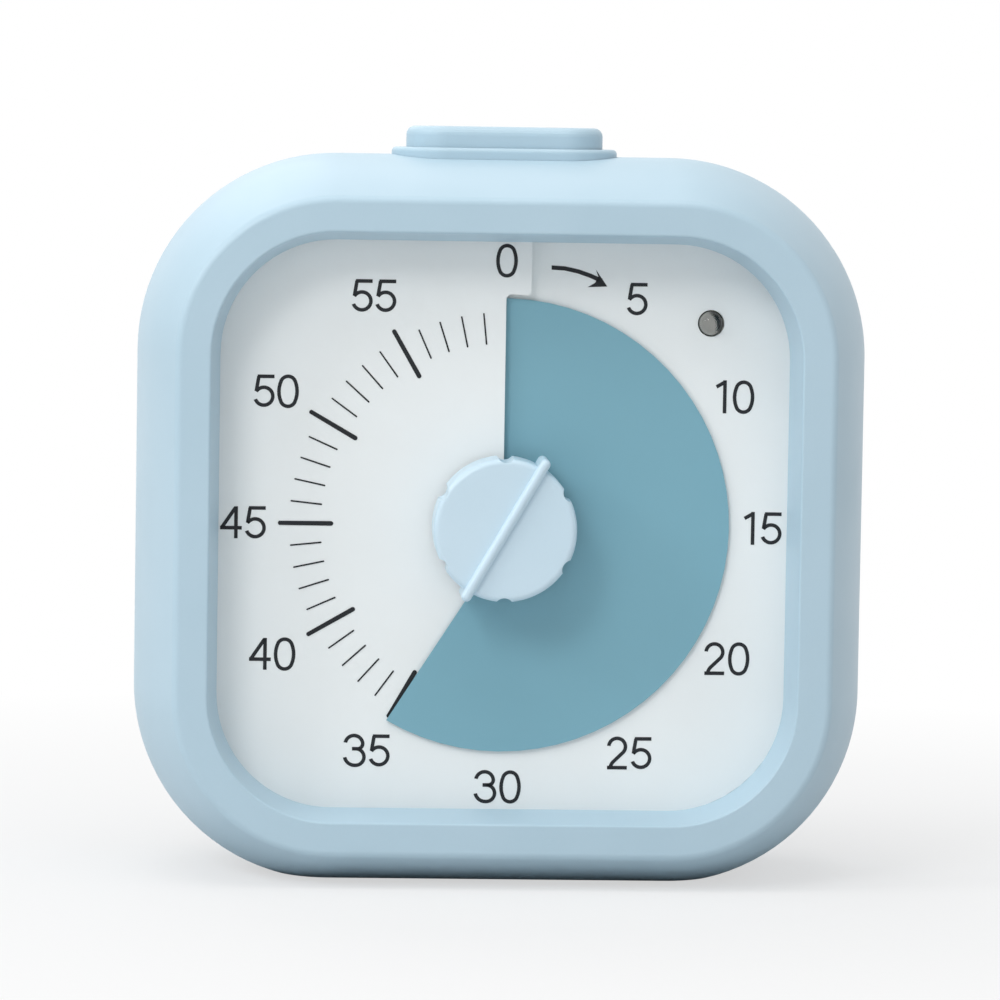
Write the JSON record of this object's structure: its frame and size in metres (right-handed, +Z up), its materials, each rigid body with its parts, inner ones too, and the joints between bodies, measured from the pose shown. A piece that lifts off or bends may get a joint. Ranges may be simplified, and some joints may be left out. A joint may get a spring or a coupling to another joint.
{
  "type": "visual countdown timer",
  "caption": "Square desk timer with round corners: a setting knob turns a spiral film disc through the dial to show the time left, with a button on top.",
  "frame": {"origin": "middle of the bounding box at the height of the surface that the timer stands on", "axes": "+Z up, the dial faces -Y, +X to the right of someone looking at the dial"},
  "size_m": [0.086, 0.041, 0.0882],
  "materials": {
    "shell_blue": "soft matte pale blue moulding",
    "knob_blue": "soft matte pale blue moulding",
    "dial_white": "matte white, printed with minute marks and numbers",
    "film_teal": "matte teal film",
    "white_plastic": "natural white moulding",
    "lamp_clear": "clear grey lamp body",
    "board_green": "lacquered board",
    "black_plastic": "black moulding",
    "magnet_dark": "dark sintered magnet",
    "copper_winding": "enamelled copper wire",
    "brass": "plated spring sheet",
    "cell_sleeve": "plain printed sleeve",
    "steel": "plated steel"
  },
  "bodies": {
    "housing": {"front_housing": "shell_blue", "rear_cover": "shell_blue", "dial_plate": "dial_white", "button_collar": "shell_blue", "button_springs": "steel", "button_board": "board_green", "tact_switch": "black_plastic", "led": "lamp_clear", "chassis_plate": "white_plastic", "gearbox_cover": "white_plastic", "stator": "steel", "coil": "copper_winding", "main_board": "board_green", "buzzer": "black_plastic", "sound_switch": "steel", "battery_cells": "cell_sleeve", "contact_springs": "steel", "contact_plates": "brass", "dial_screws": "steel", "case_screws": "steel", "gearbox_screws": "steel", "board_screws": "steel", "collar_screws": "steel"},
    "setting_knob": {"knob": "knob_blue", "spindle": "steel", "clutch_spring": "brass", "clutch_collar": "steel"},
    "film_disc": {"time_film": "film_teal", "film_hub": "white_plastic"},
    "centre_wheel": {"centre_wheel": "white_plastic"},
    "third_wheel": {"third_wheel": "white_plastic"},
    "second_wheel": {"second_wheel": "white_plastic"},
    "first_wheel": {"first_wheel": "white_plastic"},
    "rotor": {"rotor": "magnet_dark"},
    "top_button": {"button_cap": "shell_blue"},
    "tact_plunger": {"tact_plunger": "white_plastic"},
    "sound_slider": {"sound_slider": "white_plastic"},
    "battery_door": {"battery_door": "shell_blue"}
  },
  "joints": [
    {"name": "knob_turn", "type": "hinge", "parent": "housing", "child": "setting_knob", "pos_m": [0, 0.00055, 0.0419], "axis": [0, 1, 0], "range_deg": [-210, 150]},
    {"name": "film_feed", "type": "slide", "parent": "setting_knob", "child": "film_disc", "axis": [0, -1, 0], "range_m": [-0.00086, 0.00061]},
    {"name": "rotor_spin", "type": "hinge", "parent": "housing", "child": "rotor", "pos_m": [0.00656, 0.00055, 0.02634], "axis": [0, 1, 0], "continuous": true},
    {"name": "first_wheel_spin", "type": "hinge", "parent": "housing", "child": "first_wheel", "pos_m": [0.00017, 0.00055, 0.02402], "axis": [0, 1, 0], "continuous": true},
    {"name": "second_wheel_spin", "type": "hinge", "parent": "housing", "child": "second_wheel", "pos_m": [-0.00883, 0.00055, 0.02402], "axis": [0, 1, 0], "continuous": true},
    {"name": "third_wheel_spin", "type": "hinge", "parent": "housing", "child": "third_wheel", "pos_m": [-0.01147, 0.00055, 0.03387], "axis": [0, 1, 0], "continuous": true},
    {"name": "centre_wheel_spin", "type": "hinge", "parent": "housing", "child": "centre_wheel", "pos_m": [0, 0.00055, 0.0419], "axis": [0, 1, 0], "continuous": true},
    {"name": "button_press", "type": "slide", "parent": "housing", "child": "top_button", "axis": [0, 0, -1], "range_m": [0, 0.0015], "stiffness_N_per_m": 300, "springref_m": -0.001, "deforming": ["button_springs"]},
    {"name": "tact_press", "type": "slide", "parent": "housing", "child": "tact_plunger", "axis": [0, 0, -1], "range_m": [0, 0.00025], "stiffness_N_per_m": 800, "springref_m": -0.0002},
    {"name": "sound_slide", "type": "slide", "parent": "housing", "child": "sound_slider", "axis": [1, 0, 0], "range_m": [-0.0025, 0.0025]},
    {"name": "door_swing", "type": "hinge", "parent": "housing", "child": "battery_door", "pos_m": [0, 0.01975, 0.0173], "axis": [-1, 0, 0], "range_deg": [0, 75]}
  ],
  "couplings": [
    {"joint": "film_feed", "follows": "knob_turn", "m_per_rad": 0.00023078},
    {"joint": "first_wheel_spin", "follows": "rotor_spin", "ratio": -0.13333},
    {"joint": "second_wheel_spin", "follows": "rotor_spin", "ratio": 0.016667},
    {"joint": "third_wheel_spin", "follows": "rotor_spin", "ratio": -0.0022222},
    {"joint": "centre_wheel_spin", "follows": "rotor_spin", "ratio": 0.00055556}
  ]
}
